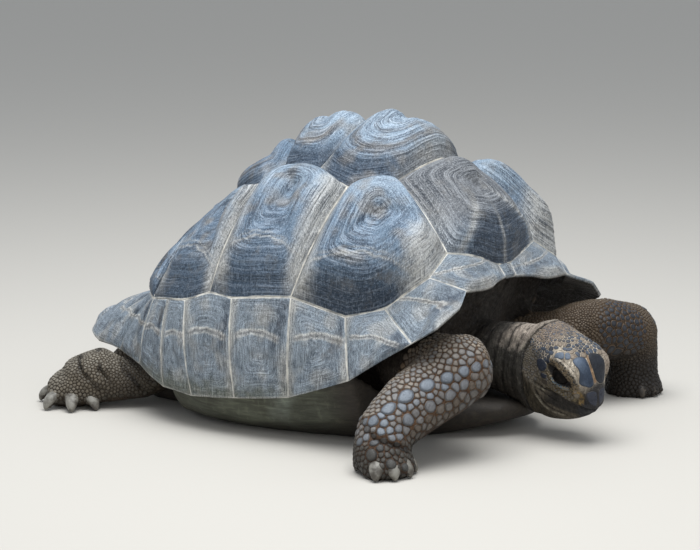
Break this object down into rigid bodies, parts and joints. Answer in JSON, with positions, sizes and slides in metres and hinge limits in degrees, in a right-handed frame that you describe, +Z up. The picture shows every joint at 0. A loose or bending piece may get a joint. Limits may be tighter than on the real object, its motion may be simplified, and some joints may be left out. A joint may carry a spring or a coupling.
{
  "type": "giant tortoise",
  "caption": "Life-size still model of a giant tortoise, belly on the floor, head lowered and turned to its right, one hind leg stretched back.",
  "frame": {"origin": "middle of the base: the centre of the bounding box in plan, on the floor that the belly and feet rest on", "axes": "head towards -Y, the animal's right side towards -X, +Z up"},
  "size_m": [0.8996, 1.1328, 0.5664],
  "materials": {
    "shell_horn": "matte grey horn plates with fine growth rings and pale worn seams",
    "belly_horn": "matte worn horn, greenish grey to brown",
    "skin": "dry brown-grey scaly skin",
    "beak": "dark satin horn of the beak and claws",
    "eye": "wet black"
  },
  "bodies": {
    "root": {"vertebral_1": "shell_horn", "vertebral_2": "shell_horn", "vertebral_3": "shell_horn", "vertebral_4": "shell_horn", "vertebral_5": "shell_horn", "costal_right_1": "shell_horn", "costal_right_2": "shell_horn", "costal_right_3": "shell_horn", "costal_right_4": "shell_horn", "costal_left_1": "shell_horn", "costal_left_2": "shell_horn", "costal_left_3": "shell_horn", "costal_left_4": "shell_horn", "marginal_right_1": "shell_horn", "marginal_right_2": "shell_horn", "marginal_right_3": "shell_horn", "marginal_right_4": "shell_horn", "marginal_right_5": "shell_horn", "marginal_right_6": "shell_horn", "marginal_right_7": "shell_horn", "marginal_right_8": "shell_horn", "marginal_right_9": "shell_horn", "marginal_right_10": "shell_horn", "marginal_right_11": "shell_horn", "marginal_left_1": "shell_horn", "marginal_left_2": "shell_horn", "marginal_left_3": "shell_horn", "marginal_left_4": "shell_horn", "marginal_left_5": "shell_horn", "marginal_left_6": "shell_horn", "marginal_left_7": "shell_horn", "marginal_left_8": "shell_horn", "marginal_left_9": "shell_horn", "marginal_left_10": "shell_horn", "marginal_left_11": "shell_horn", "nuchal": "shell_horn", "supracaudal": "shell_horn", "plastron": "belly_horn", "trunk": "skin", "neck": "skin", "head": "skin", "lower_jaw": "beak", "eye_right": "eye", "eye_left": "eye", "tail": "skin", "foreleg_right_upper": "skin", "foreleg_right_lower": "skin", "foreleg_left_upper": "skin", "foreleg_left_lower": "skin", "hindleg_right_upper": "skin", "hindleg_right_lower": "skin", "hindleg_left_upper": "skin", "hindleg_left_lower": "skin"}
  },
  "joints": []
}
